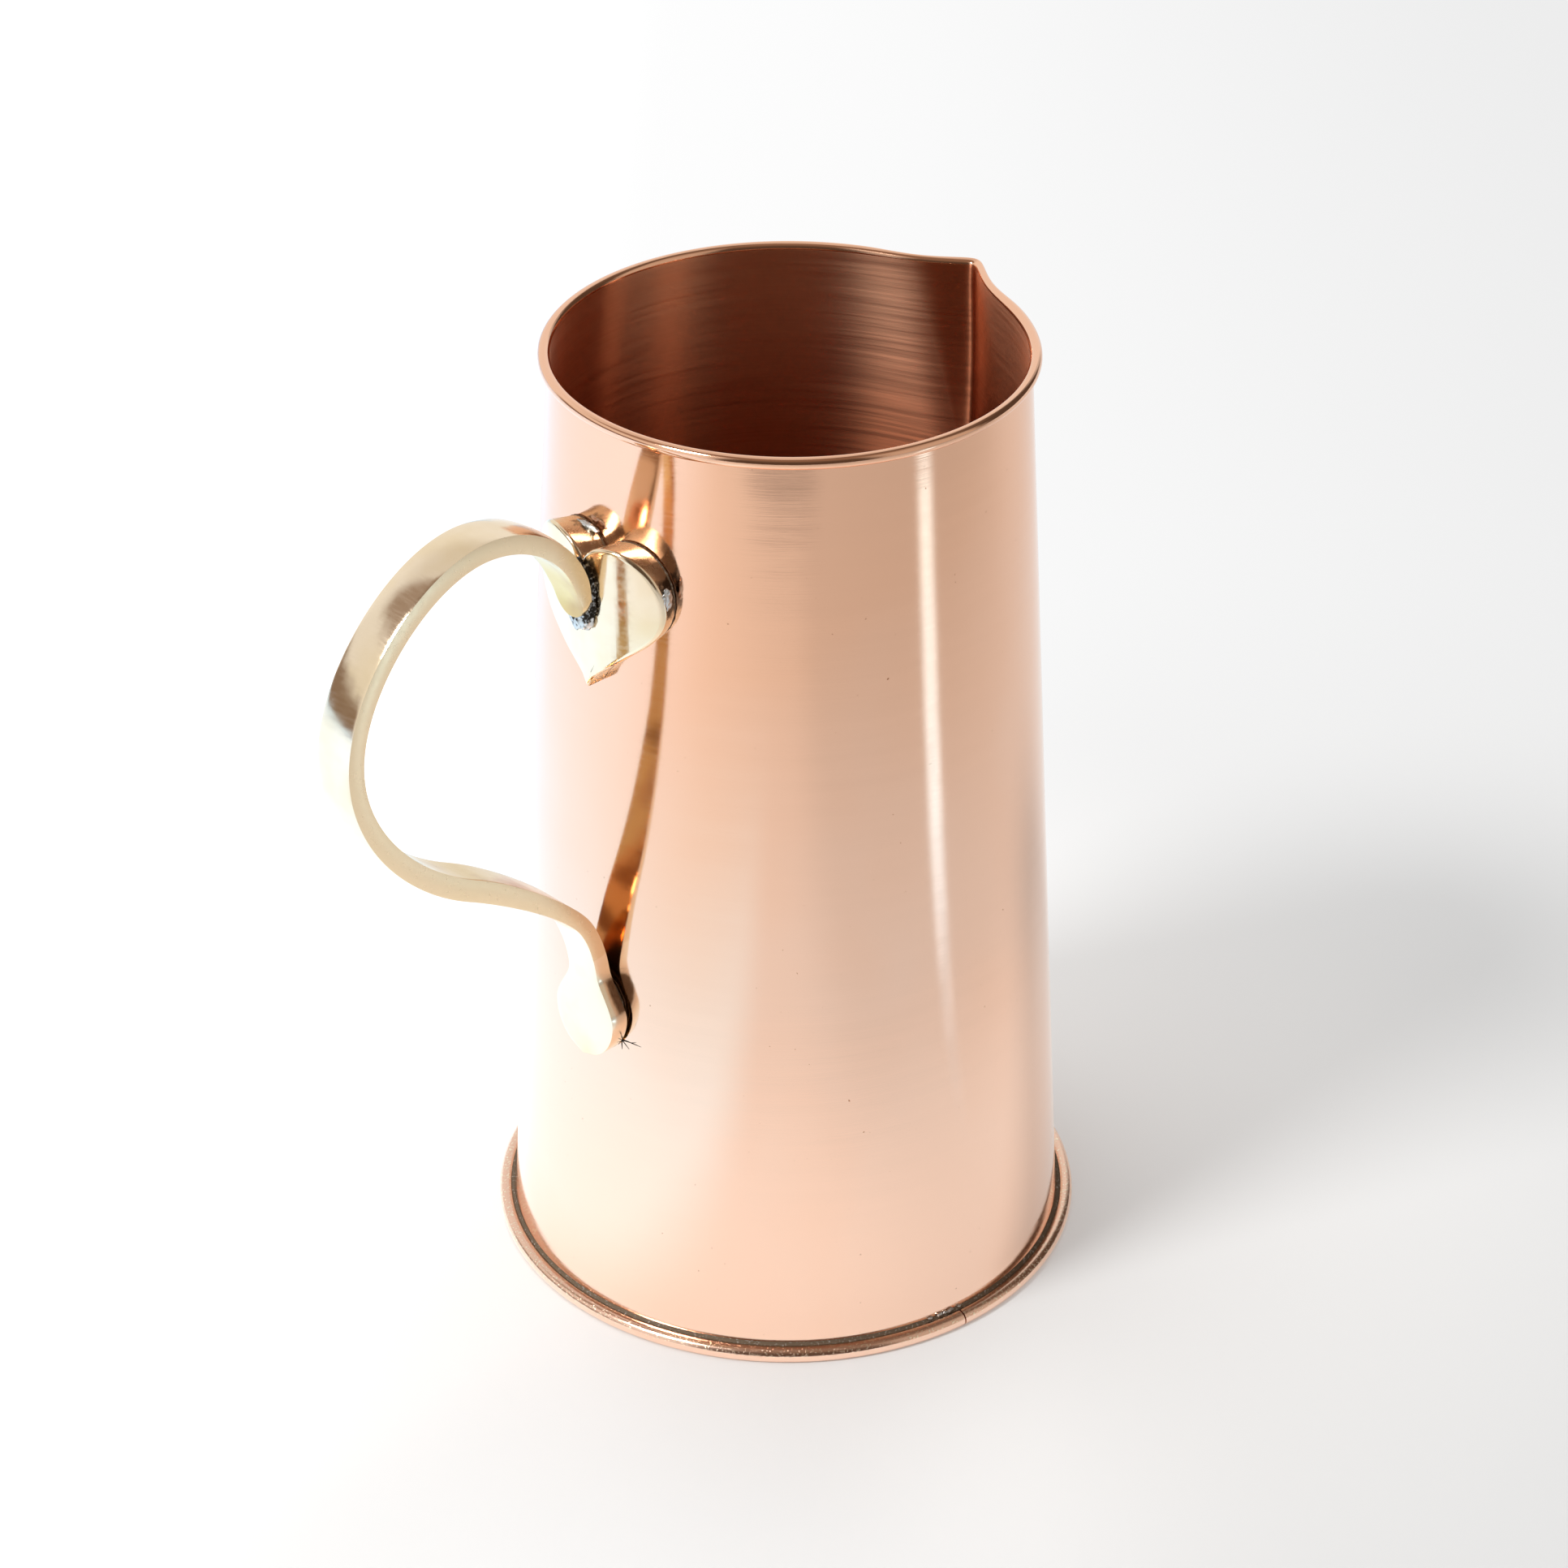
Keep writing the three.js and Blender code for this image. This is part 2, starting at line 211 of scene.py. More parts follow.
def flared_radius(z):
    """Radius of the wall's outside, which swings out a little just above the foot's solder."""
    swing = FLARE_BEND * max(FLARE_TOP - z, 0) ** 2
    return wall_radius(z) + swing * ease(z, FLARE_FOOT - 0.8, FLARE_FOOT)


ROLL_CENTRE_RADIUS = wall_radius(ROLL_HEIGHT) + ROLL_RADIUS - SHEET


def groove_rise(z):
    """How far up the pouring groove a height lies, from 0 at its foot to 1 at the rim."""
    return clamp((z - GROOVE_FOOT) / (HEIGHT - GROOVE_FOOT))


def lip_push(sizes, angle, z):
    """How far the pouring lip is pushed out, at an angle from the lip and a height."""
    rise = groove_rise(z)
    depth = sizes.lip_reach / MM * blend(ease(z, GROOVE_FOOT, HEIGHT), rise**30, LIP_FLICK)
    width = sizes.lip_width / MM * (1 + rise) / 2
    blunt = CREASE_RADIUS * (3 - 2 * rise)
    across = math.hypot(wall_radius(z) * angle, blunt)
    return depth * math.exp(-((across / width) ** LIP_FADE)) / math.exp(-((blunt / width) ** LIP_FADE))


def bend_lip(sizes, point):
    """The place of a point of the plain turned wall once the pouring lip is bent into it."""
    plain = math.atan2(point.y, point.x)
    angle = plain - AROUND_CROWDING * math.sin(plain)
    squeeze = LIP_SQUEEZE * math.exp(-((TOP_RADIUS * angle / LIP_SQUEEZE_REACH) ** 4))
    middle = wall_radius(point.z) - SHEET / 2
    unsqueezed = math.hypot(point.x, point.y) - middle
    offset = unsqueezed - squeeze * max(unsqueezed - SHEET / 2, 0)
    radius = middle + lip_push(sizes, angle, point.z)
    step = 0.001
    slope = (lip_push(sizes, angle + step, point.z) - lip_push(sizes, angle - step, point.z)) / (2 * step)
    tilt = math.atan2(slope, radius)
    place = angle + LIP_TURN * groove_rise(point.z) ** 3
    on_roll = point.z > HEIGHT - 2 * ROLL_RADIUS
    return Vector((
        radius * math.cos(place) + offset * math.cos(place - tilt),
        radius * math.sin(place) + offset * math.sin(place - tilt),
        blend(point.z, ROLL_HEIGHT, squeeze / 2) if on_roll else point.z,
    ))


# Mesh helpers


def drawn_on(bm, start, place, cuts=0):
    """Carries a profile on from its last vertex to a new place, with that many cuts between them."""
    first, end = start.co.copy(), start
    for i in range(cuts + 1):
        step = bmesh.ops.extrude_vert_indiv(bm, verts=[end])
        end = step["verts"][0]
        end.co = first.lerp(Vector(place), (i + 1) / (cuts + 1))
    return end


def curled_on(bm, start, centre, turn, steps):
    """Carries a profile on from its last vertex by turning it about a centre in the profile's plane."""
    made = bmesh.ops.spin(
        bm, geom=[start], cent=centre, axis=(0, 1, 0), angle=turn, steps=steps, use_duplicate=False
    )
    return next(part for part in made["geom_last"] if isinstance(part, bmesh.types.BMVert))


def everything(bm):
    return list(bm.verts) + list(bm.edges) + list(bm.faces)


def turned(bm, steps, gap=0.0):
    """Spins a closed profile round the body's axis, all the way or with a gap left at the end."""
    bmesh.ops.spin(
        bm,
        geom=everything(bm),
        cent=(0, 0, 0),
        axis=(0, 0, 1),
        angle=2 * math.pi - gap,
        steps=steps,
        use_merge=not gap,
        use_duplicate=False,
    )
    bmesh.ops.remove_doubles(bm, verts=list(bm.verts), dist=1e-5)
    bmesh.ops.recalc_face_normals(bm, faces=list(bm.faces))


def finished_piece(bm, name, materials, replaced=(), sharp=35):
    """Scales a mesh made in millimetres to metres and puts it on the pitcher as a named piece."""
    bmesh.ops.scale(bm, vec=(MM, MM, MM), verts=list(bm.verts))
    mesh = bpy.data.meshes.new(name)
    bm.to_mesh(mesh)
    bm.free()
    for polygon in mesh.polygons:
        polygon.use_smooth = True
    mesh.set_sharp_from_angle(angle=math.radians(sharp))
    for material in materials:
        mesh.materials.append(material)
    piece = bpy.data.objects.new(name, mesh)
    bpy.context.scene.collection.objects.link(piece)
    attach(piece, "root")
    if replaced:
        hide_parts(*replaced)


def lump(bm, place, radii, roughness, finish=0):
    """An uneven drop of solder, which comes out the same in each run."""
    noise.seed_set(SOLDER_SEED)
    made = bmesh.ops.create_icosphere(bm, subdivisions=4, radius=1)["verts"]
    for vert in made:
        swell = 1 + 0.25 * noise.noise(vert.co * 2.3 + Vector(place))
        vert.co = Vector(place) + Vector([swell * side * reach for side, reach in zip(vert.co, radii)])
        vert.co += roughness * noise.noise_vector(vert.co * 1.3)
    for face in {face for vert in made for face in vert.link_faces}:
        face.material_index = finish


# Material helpers


class Nodes:
    """Writes the nodes of one material or world. Each pattern is returned as the output that holds it."""

    def __init__(self, owner):
        owner.use_nodes = True
        self.owner = owner
        self.tree = owner.node_tree

    def add(self, kind, inputs=None, **settings):
        """Adds a node, with its settings, and with its inputs linked or set. Returns its outputs."""
        made = self.tree.nodes.new("ShaderNode" + kind)
        for key, value in settings.items():
            setattr(made, key, value)
        for key, value in (inputs or {}).items():
            if isinstance(value, bpy.types.NodeSocket):
                self.tree.links.new(value, made.inputs[key])
            else:
                made.inputs[key].default_value = value
        return made.outputs

    def maths(self, operation, *values):
        return self.add("Math", dict(enumerate(values)), operation=operation)[0]

    def vector_maths(self, operation, *vectors):
        return self.add("VectorMath", dict(enumerate(vectors)), operation=operation)["Value"]

    def product(self, first, second):
        return self.maths("MULTIPLY", first, second)

    def sum(self, first, second, first_times=1.0, second_times=1.0):
        """The sum of two values, each taken a number of times. A plain number may stand for either."""
        return self.maths("MULTIPLY_ADD", second, second_times, self.product(first, first_times))

    def ranged(self, value, low, high, to_low=0.0, to_high=1.0, way="LINEAR"):
        """A value carried from one range to another, held at the ends."""
        inputs = {"Value": value, "From Min": low, "From Max": high, "To Min": to_low, "To Max": to_high}
        return self.add("MapRange", inputs, interpolation_type=way)["Result"]

    def eased(self, value, start, end, to_low=0.0, to_high=1.0):
        """The same, with a smooth rise or fall."""
        return self.ranged(value, start, end, to_low, to_high, "SMOOTHSTEP")

    def place(self):
        return self.add("TexCoord")["Object"]

    def height(self):
        return self.add("SeparateXYZ", {"Vector": self.place()})["Z"]

    def noise(self, scale, detail=2.0, roughness=0.5):
        """Noise on the object's own coordinates, with one scale for all axes or one for each."""
        scales = scale if isinstance(scale, tuple) else (scale, scale, scale)
        stretched = self.add("Mapping", {"Vector": self.place(), "Scale": scales})["Vector"]
        inputs = {"Vector": stretched, "Scale": 1.0, "Detail": detail, "Roughness": roughness}
        return self.add("TexNoise", inputs)["Fac"]

    def mixed(self, share, first, second):
        """A colour between two others."""
        inputs = {0: share, 6: first, 7: second}
        for key in (6, 7):
            if not isinstance(inputs[key], bpy.types.NodeSocket):
                inputs[key] = (*inputs[key][:3], 1)
        return self.add("Mix", inputs, data_type="RGBA")[2]

    def colour_ramp(self, value, stops):
        """A colour ramp through pairs of a place from 0 to 1 and a colour."""
        ramp = self.tree.nodes.new("ShaderNodeValToRGB")
        self.tree.links.new(value, ramp.inputs["Fac"])
        elements = ramp.color_ramp.elements
        elements[0].position, elements[0].color = stops[0][0], (*stops[0][1], 1)
        elements[1].position, elements[1].color = stops[-1][0], (*stops[-1][1], 1)
        for place, colour in stops[1:-1]:
            elements.new(place).color = (*colour, 1)
        return ramp.outputs["Color"]

    def photo_directions(self, vector):
        """A place or direction told as across, away from the camera and up."""
        parts = self.add("SeparateXYZ", {"Vector": vector})
        half = math.sqrt(0.5)
        across = self.sum(parts["X"], parts["Y"], half, -half)
        away = self.sum(parts["X"], parts["Y"], half, half)
        return across, away, parts["Z"]

    def emission(self, strength, colour=(1, 1, 1, 1)):
        return self.add("Emission", {"Color": colour, "Strength": strength})[0]

    def both(self, first, second):
        """The light of two shaders together."""
        return self.add("AddShader", {0: first, 1: second})[0]

    def surfaced(self, shader):
        """Shows a shader in place of the usual one, and returns the material."""
        self.tree.nodes.remove(self.tree.nodes["Principled BSDF"])
        self.tree.links.new(shader, self.tree.nodes["Material Output"].inputs["Surface"])
        return self.owner


class Metal(Nodes):
    """A metal finish, whose patterns are linked to its one shader."""

    def __init__(self, name, colour, roughness, anisotropic=0.0):
        super().__init__(bpy.data.materials.new(name))
        self.inputs = self.tree.nodes["Principled BSDF"].inputs
        self.inputs["Metallic"].default_value = 1.0
        self.inputs["Anisotropic"].default_value = anisotropic
        self.inputs["Base Color"].default_value = (*colour, 1)
        self.inputs["Roughness"].default_value = roughness

    def link(self, name, socket):
        self.tree.links.new(socket, self.inputs[name])

    def bump(self, *patterns):
        """Disturbs the surface with height patterns, each with its depth in metres."""
        inputs = {"Strength": 1.0}
        for height, depth in patterns:
            inputs = {**inputs, "Height": height, "Distance": depth}
            inputs["Normal"] = self.add("Bump", inputs)["Normal"]
        self.link("Normal", inputs["Normal"])


# Finishes


def polished_copper(colours):
    """Polished copper: fine polishing lines round the body, faint ripples, rose patches and specks."""
    metal = Metal("polished_copper", colours.copper, 0.09)
    patches = metal.ranged(metal.noise((14, 14, 9), 3), 0.3, 0.7, -0.3, 0.3)
    rosier = metal.sum(metal.ranged(metal.height(), 0.05, 0.22), patches)
    warm = metal.mixed(rosier, colours.copper, colours.rose)
    specks = metal.ranged(metal.noise(900, 1), 0.8, 0.83)
    metal.link("Base Color", metal.mixed(specks, warm, colours.tarnish))
    waves = metal.noise((26, 26, 18), 1)
    ripples = metal.noise((16, 16, 150), 1)
    hairs = metal.noise((60, 60, 900), 3, 0.6)
    lines = metal.noise((25, 25, 2600), 4, 0.6)
    metal.link("Roughness", metal.ranged(lines, 0.3, 0.7, 0.07, 0.13))
    metal.bump((waves, 6e-5), (ripples, 7e-5), (hairs, 7e-6), (lines, 8e-6))
    return metal.owner


def brushed_copper(colours):
    """The bare inside: brushed brown copper, stained, with painted shade lower down and in the lip's groove.
    """
    metal = Metal("brushed_copper_inside", colours.inside, 0.36, anisotropic=0.95)
    sides = metal.add("SeparateXYZ", {"Vector": metal.place()})
    # Painted shade: the inside darkens lower down
    depth = metal.eased(sides["Z"], 0.248, 0.19, 0.0, 0.85)
    stains_and_shade = metal.ranged(metal.noise((30, 30, 8), 3), 0.45, 0.8, 0, 0.4)
    # Painted shade on one flank of the pouring lip's crease, narrowing down from the rim
    groove_shade_ends = (GROOVE_SHADE_FOOT * MM, HEIGHT * MM, 0.0004, GROOVE_SHADE_WIDTH * MM)
    aside = metal.maths("DIVIDE", sides["Y"], metal.ranged(sides["Z"], *groove_shade_ends))
    groove = metal.product(metal.eased(aside, 1.25, 0.75), metal.eased(aside, -0.15, 0.05))
    groove = metal.product(groove, metal.eased(sides["X"], 0.03, 0.035, 0.0, 0.85))
    for other in (depth, groove):
        stains_and_shade = metal.maths("MAXIMUM", stains_and_shade, other)
    lines = metal.noise((20, 20, 1100), 2, 0.6)
    share = metal.sum(stains_and_shade, metal.ranged(lines, 0.3, 0.7, -0.07, 0.07))
    metal.link("Base Color", metal.mixed(share, colours.inside, colours.inside_shade))
    metal.link("Roughness", metal.ranged(lines, 0.3, 0.7, 0.3, 0.42))
    metal.bump((lines, 3e-6))
    upright = metal.add("CombineXYZ", {"X": 0.0, "Y": 0.0, "Z": 1.0})["Vector"]
    metal.link("Tangent", upright)
    return metal.owner


def shaded_brass(metal, colours, first, most=1.0):
    """The colour of brass with duller patches."""
    patches = metal.ranged(metal.noise(60, 3), 0.4, 0.75, 0.0, most)
    return metal.mixed(patches, first, colours.brass_shade)


def polished_brass(colours):
    """Cast and polished brass, a little uneven."""
    metal = Metal("polished_brass", colours.brass, 0.1)
    metal.link("Base Color", shaded_brass(metal, colours, colours.brass))
    lines = metal.noise((1800, 200, 900), 3)
    metal.link("Roughness", metal.ranged(lines, 0.3, 0.7, 0.1, 0.19))
    metal.bump((metal.noise(120), 8e-5), (lines, 4e-6))
    return metal.owner


def filed_brass(colours):
    """The filed side faces of the strap, with a fine grain."""
    metal = Metal("filed_brass", colours.brass_side, 0.25)
    metal.link("Base Color", shaded_brass(metal, colours, colours.brass_side, 0.6))
    grain = metal.noise((700, 250, 700), 4)
    metal.link("Roughness", metal.ranged(grain, 0.3, 0.7, 0.22, 0.28))
    metal.bump((grain, 1e-6))
    return metal.owner


def stained_brass(colours):
    """Heart side faces: satin brass, dark with flux at the solder drops, and flux with painted shade at the
    tip.
    """
    metal = Metal("stained_brass", colours.brass, 0.16)
    ragged = metal.ranged(metal.noise(500, 3), 0.3, 0.7, -0.0015, 0.0015)
    colour = shaded_brass(metal, colours, colours.brass)
    # Flux round the solder drops; at the tip, flux and painted shade of the gap by the wall
    for middle, reach in ((HEART_EDGE_DROP, 0.0058), (HEART_LOBE_DROP, 0.003), (HEART_TIP_FLUX_AND_SHADE, 0.0026)):
        gap = metal.vector_maths("DISTANCE", metal.place(), Vector(middle) * MM)
        stain_and_shade = metal.eased(metal.sum(gap, ragged), reach, reach - 0.002, 0.0, 0.9)
        colour = metal.mixed(stain_and_shade, colour, colours.flux)
    metal.link("Base Color", colour)
    grain = metal.noise(300, 3)
    metal.link("Roughness", metal.ranged(grain, 0.3, 0.7, 0.2, 0.34))
    metal.bump((grain, 1.5e-5))
    return metal.owner


def tarnished_brass(colours):
    """The back of the strap, less polished: golden, darker as tarnish and painted shade, with a few browner
    and duller patches.
    """
    metal = Metal("tarnished_brass", colours.brass_back, 0.16)
    patches = metal.ranged(metal.noise(70, 3), 0.52, 0.8, 0.0, 0.7)
    metal.link("Base Color", metal.mixed(patches, colours.brass_back, colours.tarnish))
    metal.link("Roughness", metal.ranged(patches, 0, 1, 0.12, 0.3))
    metal.bump((metal.noise(150), 8e-5))
    return metal.owner


def foot_copper(colours):
    """The foot's wire: polished outside, browner along its top as dust and painted shade, with fine painted
    glints there.
    """
    metal = Metal("foot_copper", colours.copper, 0.1)
    ragged = metal.ranged(metal.noise(180, 3), 0.3, 0.7, -5e-4, 5e-4)
    # Dust and painted shade: the top of the wire is browner and duller
    browned_and_shaded = metal.eased(metal.sum(metal.height(), ragged), 0.0019, 0.0025)
    colour = metal.mixed(browned_and_shaded, colours.copper, colours.browned_and_shaded)
    # Painted glints: fine bright grains on the wire's top
    sparkle = metal.product(metal.ranged(metal.noise(1800, 1), 0.59, 0.65), browned_and_shaded)
    metal.link("Base Color", metal.mixed(sparkle, colour, colours.brass))
    metal.link("Roughness", metal.ranged(browned_and_shaded, 0, 1, 0.07, 0.2))
    metal.bump((metal.noise(130), 3e-5), (sparkle, 2e-5))
    return metal.owner


def solder_finish(colours, name, brightening, below=EVERYWHERE, flux=None, fine=900):
    """Grey solder with dark flux. Bright grains are more, or fewer, below a height in metres."""
    metal = Metal(name, colours.solder, 0.5)
    lower = metal.eased(metal.height(), below, below - 0.005, 0.0, brightening)
    grains = metal.sum(metal.noise(fine, 3), lower, 1.0, -1.0)
    dark = metal.ranged(grains, 0.32, 0.5)
    metal.link("Base Color", metal.mixed(dark, colours.solder, flux or colours.flux))
    metal.link("Roughness", metal.ranged(dark, 0, 1, 0.3, 0.75))
    metal.bump((dark, 8e-5))
    return metal.owner


# Sizes, colours and lights that a user would change


def length(name, description, default):
    return FloatProperty(name=name, description=description, default=default, unit="LENGTH")


def colour(name, description, default):
    return FloatVectorProperty(name=name, description=description, default=default, subtype="COLOR")


def strength(name, description, default):
    return FloatProperty(name=name, description=description, default=default)


def power(name, description, default):
    return FloatProperty(name=name, description=description, default=default, unit="POWER")


class PitcherSizes(bpy.types.PropertyGroup):
    lip_reach: length("Lip reach", "How far the pouring lip stands out of the rim's circle", 0.0094)
    lip_width: length("Lip width", "Half the width over which the wall is drawn into the lip", 0.0088)
    around_steps: IntProperty(
        name="Steps round the body", description="Faces round the body, crowded towards the lip", default=300
    )
    ring_radius: length("Foot wire radius", "Half the thickness of the foot ring's wire", 0.00205)
    strap_half_width: length("Strap half width", "Half the width of the handle strap", 0.0055)
    heart_round: length("Heart rounding", "Radius of the heart plate's front edge", 0.0011)
    edge_round: length("Edge rounding", "How much the strap's edges are eased", 0.00045)


class PitcherColours(bpy.types.PropertyGroup):
    copper: colour("Copper", "Polished copper", (0.885, 0.62, 0.485))
    rose: colour("Rose copper", "Warmer copper towards the rim", (0.90, 0.53, 0.355))
    tarnish: colour("Tarnish", "Specks and stains", (0.45, 0.22, 0.12))
    inside: colour("Inside copper", "Bare copper inside the body", (0.95, 0.51, 0.32))
    # The inside shade colours the stains, and also the painted shade lower down and in the lip's groove
    inside_shade: colour("Inside shade", "Stains and depths inside", (0.56, 0.17, 0.075))
    # The browner top of the foot's wire is dust and painted shade
    browned_and_shaded: colour("Browned copper", "The top of the foot's wire", (0.87, 0.58, 0.44))
    brass: colour("Brass", "Handle and heart plate", (0.93, 0.785, 0.60))
    brass_shade: colour("Brass shade", "Duller patches of the brass", (0.86, 0.69, 0.45))
    brass_side: colour("Brass side", "The filed sides of the strap", (0.88, 0.70, 0.47))
    # The back's darker colour is partly tarnish and partly painted shade of the face turned to the wall
    brass_back: colour("Brass back", "The back of the strap", (0.72, 0.52, 0.23))
    solder: colour("Solder", "Bright grains in the solder", (0.62, 0.62, 0.61))
    flux: colour("Flux", "Dark flux in the solder", (0.05, 0.04, 0.03))
    foot_flux: colour("Foot flux", "Brown flux in the foot's solder", (0.25, 0.195, 0.14))


class PitcherLight(bpy.types.PropertyGroup):
    key: power("Key lamp", "Power of the small key lamp", 55.0)
    overhead: power("Overhead lamp", "Power of the softbox above the pitcher", 6.0)
    strip: strength("Light strip", "Strength of the strip that the wall mirrors as a streak", 2.2)
    surroundings: strength("Surroundings", "Tone of the even light from all round", 0.57)
    # The darker floor out in front is painted shade, the lamps' light falling off
    floor_front: strength("Front floor", "Tone of the floor far out in front, beside the paper's", 0.84)
    floor_glow: strength("Left floor", "How much brighter the floor is far out to the left", 1.0)
    copper_bounce: strength("Copper bounce", "Light that the copper throws on the floor round it", 0.25)
    near_glow: strength("Near floor", "Cool light from the near floor at the left, for metal alone", 0.38)
    # The floor spot is a painted dark reflection, seen by metal alone
    floor_spot: strength("Floor spot", "Tone of a soft dark patch in front, for metal alone", 0.5)
    floor: colour("Floor", "Colour of the floor", (0.85, 0.85, 0.845))
    backdrop: colour("Backdrop", "Colour of the studio behind", (0.95, 0.94, 0.92))
    window: colour("Window", "Colour of the dim window at the right", (0.62, 0.55, 0.48))
    front: colour("Studio front", "Colour of the studio in front", (0.10, 0.07, 0.05))


# Body


class PITCHER_OT_body(bpy.types.Operator):
    """Models the copper body with its rolled rim and pouring lip."""

    bl_idname = "pitcher.body"
    bl_label = "Copper body"

    def execute(self, context):
        sizes = context.scene.pitcher_sizes
        bm = bmesh.new()
        first = bm.verts.new((wall_radius(WALL_BOTTOM), 0, WALL_BOTTOM))
        centre = (ROLL_CENTRE_RADIUS, 0, ROLL_HEIGHT)
        outside = first
        for z, cuts in ((FLARE_TOP, 36), (GROOVE_FOOT, 20), (LIP_FLICK_FOOT, 32), (ROLL_HEIGHT, 10)):
            outside = drawn_on(bm, outside, (wall_radius(z), 0, z), cuts)
        hollow = curled_on(bm, outside, centre, ROLL_SWEEP, 14)
        across = (hollow.co - Vector(centre)).normalized() * ROLL_RADIUS
        edge = drawn_on(bm, hollow, Vector(centre) + across)
        inside = curled_on(bm, edge, centre, -ROLL_SWEEP, 24)
        for z, cuts in ((LIP_FLICK_FOOT, 10), (GROOVE_FOOT, 32), (WALL_BOTTOM, 20)):
            inside = drawn_on(bm, inside, (wall_radius(z) - SHEET, 0, z), cuts)
        bm.edges.new((inside, first))
        turned(bm, sizes.around_steps)
        for face in bm.faces:
            middle = face.calc_center_median()
            inner = math.hypot(middle.x, middle.y) < wall_radius(middle.z) - 0.6 * SHEET
            face.material_index = int(inner and middle.z < ROLL_HEIGHT)
        for vert in bm.verts:
            if math.hypot(vert.co.x, vert.co.y) > wall_radius(vert.co.z) - SHEET / 2:
                flare = flared_radius(vert.co.z) - wall_radius(vert.co.z)
                vert.co += flare * Vector((vert.co.x, vert.co.y, 0)).normalized()
            vert.co = bend_lip(sizes, vert.co)
        colours = context.scene.pitcher_colours
        finishes = [polished_copper(colours), brushed_copper(colours)]
        finished_piece(bm, "copper_body", finishes, ["body_wall"], sharp=60)
        return {"FINISHED"}


# Foot


class PITCHER_OT_foot(bpy.types.Operator):
    """Models the foot ring from a round wire, and the solder fillet above it."""

    bl_idname = "pitcher.foot"
    bl_label = "Foot ring and fillet"

    def execute(self, context):
        sizes = context.scene.pitcher_sizes
        colours = context.scene.pitcher_colours
        wire = sizes.ring_radius / MM
        outer = min(RING_HIGH.x, RING_HIGH.y, -RING_LOW.x, -RING_LOW.y) / MM
        centre = (outer - wire - RING_CLEARANCE, 0, RING_CENTRE_HEIGHT)
        bm = bmesh.new()
        made = bmesh.ops.create_circle(
            bm,
            cap_ends=True,
            radius=wire,
            segments=32,
            matrix=Matrix.Translation(centre) @ Matrix.Rotation(math.pi / 2, 4, "X"),
        )
        for vert in made["verts"]:
            vert.co.z = max(vert.co.z, 0)
        gap = RING_JOINT_GAP / centre[0]
        to_joint = Matrix.Rotation(RING_JOINT + gap / 2, 3, "Z")
        bmesh.ops.rotate(bm, verts=list(bm.verts), cent=(0, 0, 0), matrix=to_joint)
        turned(bm, 260, gap)
        finished_piece(bm, "foot_wire", [foot_copper(colours)], ["foot_ring"])

        bm = bmesh.new()
        reach = wire + 0.05
        aim = Vector((math.cos(FOOT_FILLET_START), 0, math.sin(FOOT_FILLET_START)))
        low = bm.verts.new(Vector(centre) + reach * aim)
        rim = curled_on(bm, low, centre, FOOT_FILLET_CLIMB, 5)
        waist_radius = flared_radius(FOOT_FILLET_WAIST) + FOOT_FILLET_HOLLOW
        top_radius = flared_radius(FOOT_FILLET_TOP)
        waist = drawn_on(bm, rim, (waist_radius, 0, FOOT_FILLET_WAIST))
        top = drawn_on(bm, waist, (top_radius + 0.03, 0, FOOT_FILLET_TOP), 1)
        bm.edges.new((top, low))
        turned(bm, 360)
        for vert in bm.verts:
            angle = math.atan2(vert.co.y, vert.co.x)
            off_joint = abs(math.remainder(angle - RING_JOINT + LUMPY_TURN, 2 * math.pi))
            lumps = noise.noise(vert.co * 0.9) * 0.16 + noise.noise(vert.co * 2.5) * 0.08
            lumps *= 0.4 + 2.5 * math.exp(-((off_joint / LUMPY_TURN) ** 2))
            high = 0.6 * ease(vert.co.z, 2.9, 3.4)
            outwards = Vector((vert.co.x, vert.co.y, 0)).normalized()
            vert.co += high * (lumps * Vector((0, 0, 1)) + 0.4 * abs(lumps) * outwards)
        for turn, long, high in JOINT_DROPS:
            angle = RING_JOINT + math.radians(turn)
            reach = top_radius + FOOT_FILLET_HOLLOW
            place = (reach * math.cos(angle), reach * math.sin(angle), FOOT_FILLET_TOP)
            lump(bm, place, (long, 0.4, high), 0.06, 1)
        dull = solder_finish(colours, "dark_solder", -0.08, flux=colours.foot_flux, fine=1700)
        silver = solder_finish(colours, "bright_solder", 0.3)
        finished_piece(bm, "foot_fillet", [dull, silver], ["foot_solder"], sharp=80)
        return {"FINISHED"}


# Heart plate


def heart_outline():
    """The heart's whole outline, as points across and up, starting at the notch."""
    half = [Vector((*HEART_NOTCH, 0))]
    start = half[0]
    for out, into, end in HEART_CURVES:
        knots = [start, Vector((*out, 0)), Vector((*into, 0)), Vector((*end, 0))]
        half += interpolate_bezier(*knots, 14)[1:]
        start = knots[-1]
    mirrored = [Vector((-point.x, point.y, 0)) for point in reversed(half[1:-1])]
    return half + mirrored


def heart_front(across, up):
    """How far out the heart's domed front stands."""
    dome = HEART_DOME - math.sqrt(HEART_DOME**2 - across**2)
    return HEART_FRONT - dome + math.tan(HEART_LEAN) * (up - HEART_MIDDLE)


